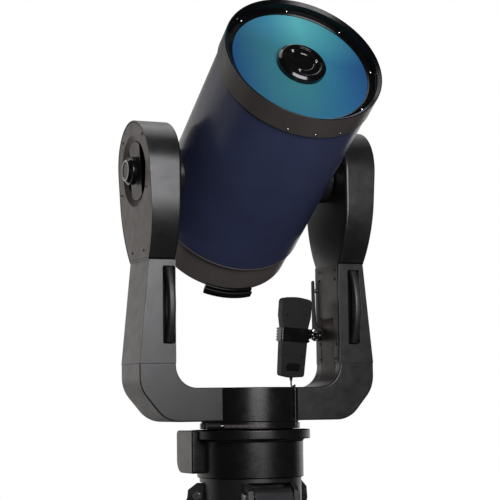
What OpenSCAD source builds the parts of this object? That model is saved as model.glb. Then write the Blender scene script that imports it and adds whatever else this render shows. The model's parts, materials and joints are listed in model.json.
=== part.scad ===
// Fork-mounted Schmidt-Cassegrain telescope on a field tripod.
// Millimetres. Origin on the floor under the azimuth axis, +Z up,
// the front of the tube looks towards -Y, the altitude axis runs along X.

/* [Mount] */
// Height of the fork base's upper face above the floor
deck_z = 1165; // [1150:5:1180]
// Clear width between the two fork arms
fork_gap = 526; // [524:1:530]
// Depth of the fork arms, front to back
arm_depth = 170; // [166:1:174]
// Height of the altitude axis above the fork base
alt_h = 640; // [638:1:650]
// Radius of the round hub in the middle of the fork base
hub_r = 148; // [146:1:149]
// Radius of the drive base's drum
drum_r = 159; // [157:1:161]
// Radius of the flange on top of the drive base
flange_r = 180; // [178:1:184]

/* [Optical tube] */
// Angle of the tube above the horizon at rest, degrees
elev = 32.5; // [30:0.5:34]
// Clear aperture of the corrector, diameter
aperture = 406.4; // [400:0.2:406.4]
// Outer radius of the painted tube
tube_r = 231; // [230.5:0.5:231.5]
// Outer radius of the front ring
ring_r = 235; // [234:0.5:236]
// Bore of the visual back, diameter (2 inch barrels)
port_d = 50.8; // [50.8:0.1:51.2]

/* [Tripod] */
// Angle of the tripod legs from the vertical, degrees
leg_a = 26; // [26:1:26]
// Radius of the legs' upper tubes
leg_r = 38; // [37:0.5:39]
// Radius at which the leg pivots stand from the axis
piv_r = 150; // [149:1:151]

/* [Handset] */
// Height of the handset's housing
hs_len = 248; // [244:1:248]
// Diameter of the handset's cable
cable_d = 5; // [4:0.5:5]

/* [Hidden] */
$fn = 96;
alt_z = deck_z + alt_h;
drv_z = deck_z - 265;
piv_z = drv_z - 52;
ax = fork_gap / 2;          // inner face of the arms
ad = arm_depth / 2;
leg_len = piv_z / cos(leg_a);
// toothed drives: a sine-shaped rack wound round a wheel of 80 teeth
wh_r = 80;
wh_n = 80;
wh_a = 1.4;
wm_r = 7;
wm_y = wh_r + wm_r;
// handset frame
hs_x = 159.6; hs_y = 30; hs_z = deck_z + 152.7; hs_t = 4;
// the handset cable's route, centre line, relative to the deck's height
cord_pts = [[151, 30, 19], [150.8, 29.5, 14.5], [150, 27.4, 9.6], [148.7, 23.8, 5.8], [147.1, 19.2, 3.5], [145.4, 14.4, 2.8],
  [140.8, 1.8, 2.8], [134, -17, 2.8], [127.1, -35.8, 2.8], [120.3, -54.6, 2.8], [113.5, -73.4, 3], [108.4, -87.5, 4], [104, -100, 5],
  [100.9, -108.4, 4.6], [98.8, -113, 2.4], [97.7, -115.6, -1.6], [97.4, -117, -7], [97.6, -117.4, -14], [97.6, -117.2, -26],
  [97.6, -117, -42], [97.6, -117, -60], [97.6, -117, -78], [97.6, -117, -94], [97.6, -117, -103]];

// ---- helpers ----
function unit(v) = v / norm(v);
// arc that rounds the corner p between its neighbours a and b
function corner(a, p, b, r, n) = r <= 0 ? [p] :
  let (u = unit(a - p), v = unit(b - p), h = acos(u * v) / 2, c = p + unit(u + v) * r / sin(h),
       s = p + u * r / tan(h) - c, e = p + v * r / tan(h) - c,
       a0 = atan2(s[1], s[0]), d0 = atan2(e[1], e[0]) - a0, d = d0 > 180 ? d0 - 360 : d0 < -180 ? d0 + 360 : d0)
  [for (i = [0:n]) c + r * [cos(a0 + d * i / n), sin(a0 + d * i / n)]];
// polygon whose corners [x, y, radius] are rounded
function rpoly(q, n = 6) = let (m = len(q)) [for (i = [0:m - 1])
  let (a = q[(i + m - 1) % m], p = q[i], b = q[(i + 1) % m])
  for (t = corner([a[0], a[1]], [p[0], p[1]], [b[0], b[1]], p[2], n)) t];
module along_y(w) rotate([90, 0, 0]) linear_extrude(w, center = true) children();
module along_x(w) rotate([90, 0, 90]) linear_extrude(w) children();
module ota() translate([0, 0, alt_z]) rotate([90 - elev, 0, 0]) children();
module leg(k) rotate([0, 0, 120 * k]) translate([0, -piv_r, piv_z]) rotate([-leg_a, 0, 0]) children();
module hs() translate([hs_x, hs_y, hs_z]) rotate([0, hs_t, 0]) children();
module mir(s) { if (s < 0) mirror([1, 0, 0]) children(); else children(); }
// wheel with sine-shaped teeth; a tooth tip lies towards -Y
module wheel(h, bore) difference() {
  linear_extrude(h, center = true)
    polygon([for (i = [0:wh_n * 6 - 1]) let (a = i * 60 / wh_n) (wh_r - 0.35 + wh_a * cos(wh_n * a)) * [sin(a), -cos(a)]]);
  translate([0, 0, -h]) cylinder(r = bore, h = 2 * h);
}
// single-start worm along Z, centred, phase p0 at its middle
module worm(len_mm, p0) {
  translate([0, 0, -len_mm / 2]) rotate([0, 0, p0 - len_mm / 2 * 360 / (2 * PI * wh_r / wh_n)])
    linear_extrude(len_mm, twist = -len_mm * 360 / (2 * PI * wh_r / wh_n), slices = ceil(len_mm * 2), $fn = 12)
      translate([wh_a, 0]) circle(r = wm_r, $fn = 12);
}
// outline of an arm's head in the YZ plane, inset by o
function head_side(o, z0) = concat(
  [for (i = [0:8]) let (z = z0 + (560 - z0) * i / 8) [146 - o - (320 - sqrt(320 * 320 - (560 - z) * (560 - z))), z]],
  [for (i = [0:20]) let (a = i * 9) [(146 - o) * cos(a), 643 + (146 - o) * sin(a)]],
  [for (i = [8:-1:0]) let (z = z0 + (560 - z0) * i / 8) [-(146 - o - (320 - sqrt(320 * 320 - (560 - z) * (560 - z)))), z]]);

// ---- tripod and drive base ----
module tripod_head() color([0.13, 0.13, 0.14]) difference() {
  union() {
    difference() {
      translate([0, 0, drv_z - 100]) cylinder(r = 152, h = 99.98);
      translate([0, 0, drv_z - 101]) cylinder(r = 92, h = 81);
      for (k = [0:2]) rotate([0, 0, 120 * k]) translate([-64, -200, drv_z - 101]) cube([128, 98, 88]);
    }
    for (k = [0:2], s = [-1, 1]) rotate([0, 0, 120 * k]) translate([s * 72 - 8, 0, 0])
      along_x(16) polygon([[-100, drv_z - 14], [-150, drv_z - 14], [-176, drv_z - 34], [-180, drv_z - 70], [-168, drv_z - 88], [-100, drv_z - 96]]);
  }
  for (k = [0:2]) rotate([0, 0, 120 * k]) translate([-90, -piv_r, piv_z]) rotate([0, 90, 0]) cylinder(r = 8, h = 180);
  translate([0, 0, drv_z - 30]) cylinder(r = 8.05, h = 40);
}
module leg_bolts() color([0.75, 0.75, 0.77]) for (k = [0:2]) rotate([0, 0, 120 * k]) translate([0, -piv_r, piv_z]) rotate([0, 90, 0]) {
  translate([0, 0, -80]) cylinder(r = 8, h = 160);
  translate([0, 0, 80]) cylinder(r = 13, h = 9, $fn = 6);
  translate([0, 0, -88]) cylinder(r = 13, h = 8, $fn = 6);
}
module drive_base() color([0.15, 0.145, 0.14]) {
  difference() {
    union() {
      translate([0, 0, drv_z]) cylinder(r = drum_r, h = 112);
      translate([0, 0, drv_z + 104]) cylinder(r1 = drum_r, r2 = drum_r + 8, h = 8);
      translate([0, 0, drv_z + 112]) cylinder(r = flange_r, h = 28);
      translate([0, 0, drv_z + 14]) linear_extrude(126)
        polygon(rpoly([[-190, -26, 34], [-100, -40, 0], [-100, 112, 0], [-190, 108, 20]]));
    }
    translate([0, 0, drv_z - 1]) cylinder(r = drum_r - 12, h = 129);
    translate([0, 0, drv_z + 13]) linear_extrude(115) polygon([[-181, 12], [-170, -10], [-152, -14], [-130, 0], [-130, 80], [-150, 98], [-176, 98], [-181, 90]]);
  }
  difference() {
    union() {
      translate([0, 0, drv_z]) cylinder(r = 30, h = 130);
      translate([0, 0, drv_z + 139]) cylinder(r = 70, h = 9.5);
      translate([0, 0, drv_z + 139]) cylinder(r = 60, h = 106);
    }
    translate([0, 0, drv_z - 1]) cylinder(r = 8.05, h = 81);
  }
  for (a = [0:60:300]) rotate([0, 0, a + 30]) translate([28, -4, drv_z]) cube([drum_r - 36, 8, 130]);
}
module az_wheel() color([0.72, 0.6, 0.3]) translate([0, 0, deck_z - 112]) wheel(8, 60.02);

module leg_outer(k) color([0.14, 0.14, 0.15]) leg(k) difference() {
  union() {
    translate([-60, 0, 0]) rotate([0, 90, 0]) cylinder(r = 26, h = 120);
    along_y(52) polygon([[-60, 0], [60, 0], [60, -44], [42, -112], [-42, -112], [-60, -44]]);
    translate([0, 0, -150]) cylinder(r = leg_r + 5, h = 50);
    translate([0, 0, -570]) cylinder(r = leg_r, h = 460);
    translate([0, 0, -590]) cylinder(r = leg_r + 7, h = 46);
    translate([0, -40, -567]) rotate([90, 0, 0]) cylinder(r = 13, h = 18);
    for (s = [-1, 1]) translate([s * 14 - 3.5, 0, 0]) along_x(7) polygon(rpoly([[30, -448, 0], [74, -438, 10], [74, -402, 10], [30, -392, 0]]));
  }
  translate([0, 0, -591]) cylinder(r = 32.05, h = 40);
  translate([0, 0, -552]) cylinder(r = leg_r - 3.5, h = 410);
  translate([0, -30, -567]) rotate([90, 0, 0]) cylinder(r = 5.05, h = 40);
  translate([-70, 0, 0]) rotate([0, 90, 0]) cylinder(r = 8.05, h = 140);
}
module leg_inner(k) color([0.6, 0.6, 0.62]) {
  leg(k) difference() {
    translate([0, 0, -leg_len + 28]) cylinder(r = 32, h = leg_len - 28 - 280);
    translate([0, 0, -leg_len + 60]) cylinder(r = 28.5, h = leg_len);
  }
  intersection() {
    union() {
      leg(k) translate([0, 0, -leg_len + 6]) cylinder(r1 = 17, r2 = 34, h = 40);
      rotate([0, 0, 120 * k]) translate([0, -piv_r - leg_len * sin(leg_a), 0]) cylinder(r = 36, h = 14);
    }
    translate([0, 0, 0]) cylinder(r = 800, h = 300);
  }
}
module leg_knob(k) color([0.1, 0.1, 0.1]) leg(k) translate([0, 0, -567]) rotate([90, 0, 0]) {
  translate([0, 0, 33]) cylinder(r = 5, h = 34);
  translate([0, 0, 60]) cylinder(r = 11, h = 8);
  translate([0, 0, 66]) linear_extrude(13) polygon([for (i = [0:35]) let (a = i * 10) (19 + 3 * cos(a * 6)) * [cos(a), sin(a)]]);
}
// spreader: sliding hub on the central rod, three arms to the legs
sp_z = drv_z - 280;         // hub's pivot height
sp_r = 44;                  // pivot radius on the hub
sp_e = [piv_r + 420 * sin(leg_a) - 62 * cos(leg_a), piv_z - 420 * cos(leg_a) - 62 * sin(leg_a)];  // pivot on the leg's lug
sp_l = norm(sp_e - [sp_r, sp_z]);
sp_s = atan2(sp_z - sp_e[1], sp_e[0] - sp_r);
module spreader_hub() color([0.13, 0.13, 0.14]) difference() {
  union() {
    translate([0, 0, sp_z - 16]) cylinder(r = 26, h = 32);
    for (k = [0:2], s = [-1, 1]) rotate([0, 0, 120 * k]) translate([s * 11 - 3, 0, 0])
      along_x(6) polygon(rpoly([[-10, sp_z - 12, 0], [-sp_r - 10, sp_z - 10, 8], [-sp_r - 10, sp_z + 10, 8], [-10, sp_z + 12, 0]]));
    for (k = [0:2]) rotate([0, 0, 120 * k]) translate([-14, -sp_r, sp_z]) rotate([0, 90, 0]) cylinder(r = 4, h = 28);
  }
  translate([0, 0, sp_z - 20]) cylinder(r = 8.05, h = 40);
}
module spreader(k) color([0.13, 0.13, 0.14]) rotate([0, 0, 120 * k]) translate([0, -sp_r, sp_z]) rotate([sp_s, 0, 0]) difference() {
  union() {
    translate([-7, 0, 0]) rotate([0, 90, 0]) cylinder(r = 8, h = 14);
    translate([-7, -sp_l, -5.5]) cube([14, sp_l, 11]);
    translate([-7, -sp_l, 0]) rotate([0, 90, 0]) cylinder(r = 8, h = 14);
  }
  translate([-8, 0, 0]) rotate([0, 90, 0]) cylinder(r = 4.05, h = 16);
}
module tension_rod() color([0.7, 0.7, 0.72]) {
  translate([0, 0, sp_z - 60]) cylinder(r = 8, h = drv_z + 70 - sp_z + 60);
  translate([0, 0, sp_z - 30]) cylinder(r = 16, h = 12);
  translate([0, 0, sp_z - 58]) linear_extrude(30) polygon([for (i = [0:47]) let (a = i * 7.5) (36 + 5 * cos(a * 5)) * [cos(a), sin(a)]]);
}

// ---- fork ----
module fork_base() color([0.13, 0.13, 0.14]) difference() {
  union() {
    translate([0, 0, deck_z]) along_y(arm_depth) polygon(rpoly([
      [-ax - 112, 71, 0], [-ax - 112, -2, 36], [-ax - 30, -99, 34], [ax + 30, -99, 34], [ax + 112, -2, 36], [ax + 112, 71, 0],
      [ax, 71, 0], [ax, 0, 65], [-ax, 0, 65], [-ax, 71, 0]]));
    translate([0, 0, deck_z - 101]) cylinder(r = hub_r, h = 99);
    translate([0, 0, deck_z - 2]) cylinder(r1 = hub_r, r2 = hub_r - 2, h = 2);
  }
  difference() {
    translate([0, 0, deck_z - 102]) cylinder(r = hub_r - 13, h = 87);
    translate([0, 0, deck_z - 103]) cylinder(r = 74, h = 90);
  }
  translate([0, 0, deck_z - 102]) cylinder(r = 60.05, h = 86);
  // hollows in the two limbs
  for (s = [-1, 1]) mir(s) translate([0, 0, deck_z]) along_y(arm_depth - 24)
    polygon([[160, -87], [290, -87], [355, 0], [362, 72], [276, 72], [276, -5], [256, -14], [160, -14]]);
}
module hub_ring() color([0.12, 0.12, 0.125]) difference() {
  union() {
    translate([0, 0, deck_z - 122]) cylinder(r = 150, h = 17);
    translate([0, 0, deck_z - 105]) cylinder(r = 145, h = 4);
  }
  translate([0, 0, deck_z - 123]) cylinder(r = 134, h = 30);
  translate([-160, -wm_y, deck_z - 112]) rotate([0, 90, 0]) cylinder(r = 5, h = 72);
  rotate([0, 0, 198]) translate([120, 0, deck_z - 112]) rotate([0, 90, 0]) cylinder(r = 4.05, h = 40);
}
module arm(s) color([0.13, 0.13, 0.14]) difference() {
  translate([0, 0, deck_z]) along_y(arm_depth) polygon([[ax, 71], [ax + 112, 71], [ax + 82, 372], [ax, 372]]);
  translate([0, 0, deck_z]) along_y(arm_depth - 24) polygon([[ax + 13, 70], [ax + 98, 70], [ax + 69, 373], [ax + 13, 373]]);
}
// pocket behind a carry handle in the arm's front face
module grip_pocket(s) mir(s) translate([s < 0 ? 284 : 312, -ad, deck_z + 241]) along_y(44)
  polygon(rpoly([[-19, -113, 5], [19, -113, 5], [19, 113, 5], [-19, 113, 5]], 4));
module pocket_box(s) mir(s) translate([s < 0 ? 284 : 312, -ad + 19.9, deck_z + 241]) cube([52, 24, 238], center = true);
module fork_arm(s) color([0.13, 0.13, 0.14]) difference() {
  union() { mir(s) arm(1); intersection() { pocket_box(s); mir(s) translate([0, 0, deck_z]) along_y(arm_depth) polygon([[ax, 71], [ax + 112, 71], [ax + 82, 372], [ax, 372]]); } }
  grip_pocket(s);
}
module fork_arm_l() fork_arm(-1);
module fork_arm_r() fork_arm(1);
// bowed grips, one in front of each pocket
module carry_handles() color([0.07, 0.07, 0.07]) for (s = [-1, 1]) mir(s) translate([s < 0 ? 284 : 312, -ad, deck_z + 241]) {
  translate([-12, 0, 0]) along_x(24) polygon(concat(
    [for (i = [0:14]) let (t = -1 + i / 7) [-3 - 30 * (1 - t * t), 113 * t]], [[14, 113], [14, 99]],
    [for (i = [13:-1:1]) let (t = -1 + i / 7) [14 - 29 * pow(1 - t * t, 0.6), 99 * t]], [[14, -99], [14, -113]]));
}
module slant() translate([0, 0, deck_z + 372]) rotate([0, 3.2, 0]) children();
module head_prism(o, z0) translate([ax, 0, deck_z]) along_x(140) polygon(head_side(o, z0));
module beyond(u) slant() translate([ax + u, -300, -100]) cube([200, 600, 700]);
module head_shell(s) mir(s) difference() {
  union() {
    difference() {
      head_prism(0, 372);
      translate([ax + 11, 0, deck_z]) along_x(140) polygon(head_side(12, 371));
    }
    // rib under the cover's lower edge
    translate([ax + 60, -80, deck_z + 372]) cube([40, 160, 4.4]);
  }
  beyond(83.1);
  // ledge that the cover sits in
  intersection() { head_prism(4.6, 376.6); beyond(77); }
  translate([ax - 10, 0, alt_z]) rotate([0, 90, 0]) cylinder(r = 45.05, h = 60);
}
module fork_head_l() color([0.14, 0.14, 0.15]) head_shell(-1);
module fork_head_r() color([0.14, 0.14, 0.15]) head_shell(1);
// outer covers, set into the heads, with a dished round recess and an upright bar behind the clutch knob
module cover_cyl(r1, r2, u, h) slant() translate([ax + u, 0, 287.6]) rotate([0, 90, 0]) cylinder(r1 = r1, r2 = r2, h = h);
module head_covers() color([0.2, 0.18, 0.18]) for (s = [-1, 1]) mir(s) difference() {
  union() {
    difference() {
      union() {
        intersection() { head_prism(5.4, 377.2); beyond(77.1); }
        cover_cyl(98, 98, 39, 39);
      }
      beyond(82.6);
      cover_cyl(84, 84, 45, 60);
      cover_cyl(84, 105, 72.6, 10.01);
    }
    intersection() {
      cover_cyl(88, 88, 40, 37.5);
      slant() translate([ax + 39, -47, 180]) cube([60, 94, 220]);
    }
  }
  translate([ax + 40, 0, alt_z]) rotate([0, 90, 0]) cylinder(r = 8.05, h = 80);
}
module arm_cover() color([0.17, 0.16, 0.16]) difference() {
  translate([ax - 4, -6, deck_z + 220]) along_x(4) polygon(rpoly([[-62, -142, 8], [62, -142, 8], [62, 142, 8], [-62, 142, 8]], 4));
  translate([ax - 6, -4, deck_z + 208]) rotate([0, 90, 0]) cylinder(r = 7, h = 10);
}
module screw(r, h) { cylinder(r = r, h = h); }
module fork_screws() color([0.3, 0.3, 0.31]) {
  for (s = [-1, 1]) mir(s) for (q = [[85, 383], [-91, 384], [124, 229], [-98, 229], [57, 48], [-45, 48]])
    slant() translate([ax + 82.65, q[0], q[1]]) rotate([0, 90, 0]) cylinder(r = 4, h = 1.6);
  for (y = [-60, 48], z = [85, 355]) translate([ax - 6, y - 0, deck_z + z]) rotate([0, 90, 0]) cylinder(r = 4, h = 2);
}
module az_drive() color([0.45, 0.45, 0.47]) difference() {
  union() {
    translate([-46, -98, deck_z - 98]) cube([106, 20, 8]);
    for (x = [-46, 34]) translate([x, -96, deck_z - 118]) cube([10, 17, 21]);
    translate([48, -98, deck_z - 119]) cube([12, 20, 103.95]);
    translate([-24, -94, deck_z - 58]) rotate([0, 90, 0]) cylinder(r = 15, h = 72);
  }
  translate([-50, -wm_y, deck_z - 112]) rotate([0, 90, 0]) cylinder(r = 4.05, h = 107);
}
module az_worm() color([0.7, 0.7, 0.72]) translate([0, -wm_y, deck_z - 112]) rotate([0, 90, 0]) {
  worm(34, -90);
  translate([0, 0, -130]) cylinder(r = 4, h = 186);
  translate([0, 0, -172]) cylinder(r = 10.5, h = 41);
}
module az_lock_knob() color([0.06, 0.06, 0.06]) rotate([0, 0, 198]) translate([0, 0, deck_z - 112]) rotate([0, 90, 0]) {
  translate([0, 0, 136]) cylinder(r = 4, h = 20);
  translate([0, 0, 152]) linear_extrude(30) polygon([for (i = [0:35]) let (a = i * 10) (9 + 0.8 * cos(a * 9)) * [cos(a), sin(a)]]);
}
module alt_drive() color([0.45, 0.45, 0.47]) translate([-ax - 32, 0, alt_z - wm_y]) difference() {
  union() {
    for (y = [-44, 34]) translate([-9, y, -16]) cube([29.95, 10, 24]);
    translate([-9, -44, -16]) cube([29.95, 102, 6.5]);
    translate([-9, 46, -16]) cube([29.95, 12, 26]);
    translate([0, 57, 0]) rotate([-90, 0, 0]) cylinder(r = 15, h = 44);
  }
  translate([0, -50, 0]) rotate([-90, 0, 0]) cylinder(r = 4.05, h = 104);
}
module alt_worm() color([0.7, 0.7, 0.72]) translate([-ax - 32, 0, alt_z - wm_y]) rotate([-90, 0, 0]) {
  worm(34, 90);
  translate([0, 0, -46]) cylinder(r = 4, h = 100);
}
module clutch_knob() color([0.12, 0.12, 0.12]) translate([-ax - 60, 0, alt_z]) rotate([0, -90, 0]) difference() {
  union() {
    cylinder(r = 8, h = 40);
    translate([0, 0, 36.5]) cylinder(r = 42, h = 16.5);
    translate([0, 0, 53]) cylinder(r1 = 42, r2 = 31, h = 12);
  }
  translate([0, 0, 63]) cylinder(r = 25, h = 4);
}

// ---- handset, its holder and cable ----
module handset_body() color([0.07, 0.07, 0.075]) hs() difference() {
  along_y(32) polygon(rpoly([[-42, 30, 0], [-49, 66, 20], [-49, 118, 14], [0, 124, 0], [49, 118, 14], [49, 66, 20], [42, 30, 0],
    [42, -16, 0], [39, -118, 8], [0, -hs_len / 2, 0], [-39, -118, 8], [-42, -16, 0]], 4));
  for (p = [[0, -38], [0, -84], [-24, -61], [24, -61], [0, -61]]) translate([p[0], 10, p[1]]) rotate([-90, 0, 0]) cylinder(r = 8.6, h = 10);
}
module key(x, z) color([0.5, 0.1, 0.1]) hs() translate([x, 12.5, z]) rotate([-90, 0, 0]) cylinder(r = 8.2, h = 6);
module key_up() key(0, -38);
module key_down() key(0, -84);
module key_left() key(24, -61);
module key_right() key(-24, -61);
module key_enter() key(0, -61);
module handset_bracket() color([0.08, 0.08, 0.085]) {
  hs() difference() {
    translate([-47, -20.5, -14]) cube([94, 41, 42]);
    translate([-42.4, -16.3, -15]) cube([84.8, 32.6, 44]);
  }
  translate([hs_x + 46, hs_y - 14, deck_z + 146]) cube([ax - 11 - hs_x - 46, 28, 26]);
  translate([ax - 14, 0, deck_z]) along_x(4) polygon(rpoly([[14, 143, 8], [84, 143, 8], [86, 330, 6], [68, 330, 6], [60, 184, 14], [14, 178, 8]], 4));
  for (z = [160, 300]) translate([ax - 11, 74, deck_z + z]) rotate([0, 90, 0]) cylinder(r = 6, h = 11);
}
module cord_fittings() color([0.06, 0.06, 0.06]) {
  translate([151, 30, deck_z + 19]) cylinder(r1 = 3.4, r2 = 5.2, h = 12);
  translate([97.6, -117, deck_z - 119]) cylinder(r = 5.5, h = 16);
}
// cable: an 8-sided tube swept along cord_pts
function cdir(i) = unit(cord_pts[min(i + 1, len(cord_pts) - 1)] - cord_pts[max(i - 1, 0)]);
function cside(i) = unit(cross(cdir(i), [0.8, 0.6, 0.05]));
module handset_cord() color([0.05, 0.05, 0.05]) translate([0, 0, deck_z]) let (n = len(cord_pts))
  polyhedron(
    points = [for (i = [0:n - 1]) let (u = cside(i), v = cross(cdir(i), u)) for (j = [0:7]) cord_pts[i] + cable_d / 2 * (cos(j * 45) * u + sin(j * 45) * v)],
    faces = concat([[for (j = [0:7]) 7 - j]], [[for (j = [0:7]) (n - 1) * 8 + j]],
      [for (i = [0:n - 2], j = [0:7]) [i * 8 + j, i * 8 + (j + 1) % 8, (i + 1) * 8 + (j + 1) % 8, (i + 1) * 8 + j]]));

// ---- optical tube, local z along the optical axis ----
module tube_shell() color([0.13, 0.14, 0.25]) ota() difference() {
  translate([0, 0, -164]) cylinder(r = tube_r, h = 630);
  translate([0, 0, -165]) cylinder(r = tube_r - 2.5, h = 640);
}
module front_ring() color([0.22, 0.21, 0.2]) ota() difference() {
  translate([0, 0, 439]) cylinder(r = ring_r, h = 75);
  translate([0, 0, 438]) cylinder(r = tube_r + 0.05, h = 29);
  translate([0, 0, 466]) cylinder(r = aperture / 2, h = 54);
  translate([0, 0, 473]) cylinder(r = 211, h = 50);
  translate([0, 0, 481]) cylinder(r = 224, h = 40);
  translate([0, 0, 506]) cylinder(r1 = 224, r2 = ring_r - 3, h = 8.01);
}
module corrector() color([0.2, 0.5, 0.55, 0.6]) ota() difference() {
  translate([0, 0, 473.05]) cylinder(r = 210.9, h = 7.9);
  translate([0, 0, 467]) cylinder(r = 60.1, h = 20);
}
module retaining_ring() color([0.06, 0.06, 0.06]) ota() difference() {
  union() {
    translate([0, 0, 481.05]) cylinder(r = 223.9, h = 5);
    for (a = [-2.5:45:350]) rotate([0, 0, a]) translate([216, 0, 485]) cylinder(r = 3, h = 3);
  }
  translate([0, 0, 477]) cylinder(r = aperture / 2, h = 20);
}
module secondary_holder() color([0.04, 0.04, 0.04]) ota() {
  translate([0, 0, 467]) cylinder(r = 60, h = 16);
  difference() {
    union() {
      translate([0, 0, 481.05]) cylinder(r = 72, h = 17);
      translate([0, 0, 498.05]) cylinder(r1 = 72, r2 = 67, h = 5);
    }
    translate([0, 0, 499]) cylinder(r = 53, h = 10);
  }
  for (a = [3, 121, 243]) rotate([0, 0, a]) translate([42, 0, 498]) cylinder(r = 5, h = 4);
}
module secondary_mirror() color([0.85, 0.87, 0.9]) ota() translate([0, 0, 453]) cylinder(r = 54, h = 14);
module rear_cell() color([0.2, 0.19, 0.185]) ota() difference() {
  union() {
    translate([0, 0, -282]) cylinder(r = 224, h = 118);
    translate([0, 0, -165]) cylinder(r = 228.4, h = 21);
    translate([0, 0, -326]) cylinder(r1 = 158, r2 = 224, h = 44);
    // boss for the rear foot
    intersection() {
      difference() { translate([0, 0, -302]) cylinder(r = 233, h = 34); translate([0, 0, -303]) cylinder(r = 190, h = 40); }
      translate([-92, -260, -310]) cube([152, 80, 60]);
    }
    translate([0, 0, -332]) cylinder(r = 62, h = 20);
  }
  translate([0, 0, -270]) cylinder(r = 214, h = 140);
  translate([0, 0, -312]) cylinder(r1 = 148, r2 = 214, h = 42.01);
  translate([0, 0, -340]) cylinder(r = 40.02, h = 60);
  for (x = [-105, 105]) translate([x, -72, -340]) cylinder(r = 6.05, h = 40);
}
module rear_foot() color([0.05, 0.05, 0.05]) ota() intersection() {
  difference() { translate([0, 0, -306]) cylinder(r = 247, h = 30); translate([0, 0, -307]) cylinder(r = 233.02, h = 40); }
  translate([-94, -270, -310]) cube([156, 90, 60]);
}
module trunnions() color([0.16, 0.16, 0.17]) for (s = [-1, 1]) mir(s) translate([0, 0, alt_z]) {
  difference() {
    rotate([0, 90, 0]) { translate([0, 0, 200]) cylinder(r = 72, h = ax - 4 - 200); cylinder(r = 45, h = ax + 18); cylinder(r = 25, h = ax + 52); }
    translate([0, 0, -alt_z]) ota() translate([0, 0, -200]) cylinder(r = tube_r + 0.05, h = 500);
  }
}
module alt_wheel() color([0.72, 0.6, 0.3]) translate([-ax - 32, 0, alt_z]) rotate([90, 0, 90]) rotate([0, 0, 90]) wheel(8, 25.02);
module baffle_tube() color([0.05, 0.05, 0.05]) ota() difference() {
  translate([0, 0, -332]) cylinder(r = 40, h = 392);
  translate([0, 0, -333]) cylinder(r = 36, h = 400);
}
module primary_mirror() color([0.85, 0.87, 0.9]) ota() difference() {
  union() { translate([0, 0, -236]) cylinder(r = 208, h = 44); translate([0, 0, -246]) cylinder(r = 60, h = 70); }
  translate([0, 0, -250]) cylinder(r = 40.05, h = 90);
  // concave front
  translate([0, 0, -192 + 1800 - 14]) sphere(r = 1800, $fn = 256);
}
module visual_back() color([0.1, 0.1, 0.1]) ota() difference() {
  union() { translate([0, 0, -350]) cylinder(r = 50, h = 17.95); translate([0, 0, -386]) cylinder(r = 34, h = 40); }
  translate([0, 0, -387]) cylinder(r = port_d / 2, h = 60);
}
module focus_knob() color([0.1, 0.1, 0.1]) ota() translate([105, -72, 0]) {
  translate([0, 0, -352]) cylinder(r = 6, h = 52);
  translate([0, 0, -362]) linear_extrude(28) polygon([for (i = [0:47]) let (a = i * 7.5) (18 + 0.8 * cos(a * 12)) * [cos(a), sin(a)]]);
}
module mirror_lock() color([0.1, 0.1, 0.1]) ota() translate([-105, -72, 0]) {
  translate([0, 0, -352]) cylinder(r = 6, h = 52);
  translate([0, 0, -356]) linear_extrude(22) polygon([for (i = [0:35]) let (a = i * 10) (13 + 1.5 * cos(a * 6)) * [cos(a), sin(a)]]);
}
// finder on the tube's upper right side
fd_a = 28; fd_r = 292;
module fd() ota() rotate([0, 0, -fd_a]) translate([0, fd_r, 0]) children();
module finder_bracket() color([0.09, 0.09, 0.1]) difference() {
  union() {
    fd() for (z = [185, 325]) translate([0, 0, z]) difference() { cylinder(r = 38, h = 16); translate([0, 0, -1]) cylinder(r = 29.05, h = 20); }
    fd() translate([-15, -68, 175]) cube([30, 33, 180]);
    fd() for (z = [185, 325]) translate([-12, -45, z]) cube([24, 12, 16]);
  }
  ota() translate([0, 0, 100]) cylinder(r = tube_r + 0.05, h = 320);
}
module finder_tube() color([0.08, 0.08, 0.085]) fd() difference() {
  union() {
    translate([0, 0, 150]) cylinder(r = 29, h = 230);
    translate([0, 0, 380]) cylinder(r = 33, h = 50);
    translate([0, 0, 120]) cylinder(r1 = 18, r2 = 29, h = 30);
    translate([0, 0, 78]) cylinder(r = 18, h = 42);
  }
  translate([0, 0, 412]) cylinder(r = 28, h = 20);
  translate([0, 0, 77]) cylinder(r = 11, h = 6);
}

tripod_head();
leg_bolts();
drive_base();
az_wheel();
leg_outer(0);  // leg_outer_1
leg_outer(1);  // leg_outer_2
leg_outer(-1);  // leg_outer_3
leg_inner(0);  // leg_inner_1
leg_inner(1);  // leg_inner_2
leg_inner(-1);  // leg_inner_3
leg_knob(0);  // leg_knob_1
leg_knob(1);  // leg_knob_2
leg_knob(-1);  // leg_knob_3
spreader_hub();
spreader(0);  // spreader_1
spreader(1);  // spreader_2
spreader(-1);  // spreader_3
tension_rod();
fork_base();
hub_ring();
fork_arm_l();
fork_arm_r();
fork_head_l();
fork_head_r();
head_covers();
carry_handles();
arm_cover();
fork_screws();
az_drive();
az_worm();
az_lock_knob();
alt_drive();
alt_worm();
clutch_knob();
handset_bracket();
handset_body();
cord_fittings();
handset_cord();
key_up();
key_down();
key_left();
key_right();
key_enter();
tube_shell();
front_ring();
corrector();
retaining_ring();
secondary_holder();
secondary_mirror();
rear_cell();
rear_foot();
trunnions();
alt_wheel();
baffle_tube();
primary_mirror();
visual_back();
focus_knob();
mirror_lock();
finder_bracket();
finder_tube();
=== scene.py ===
import bpy, bmesh, json, math, random
from mathutils import Vector, Matrix


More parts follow.
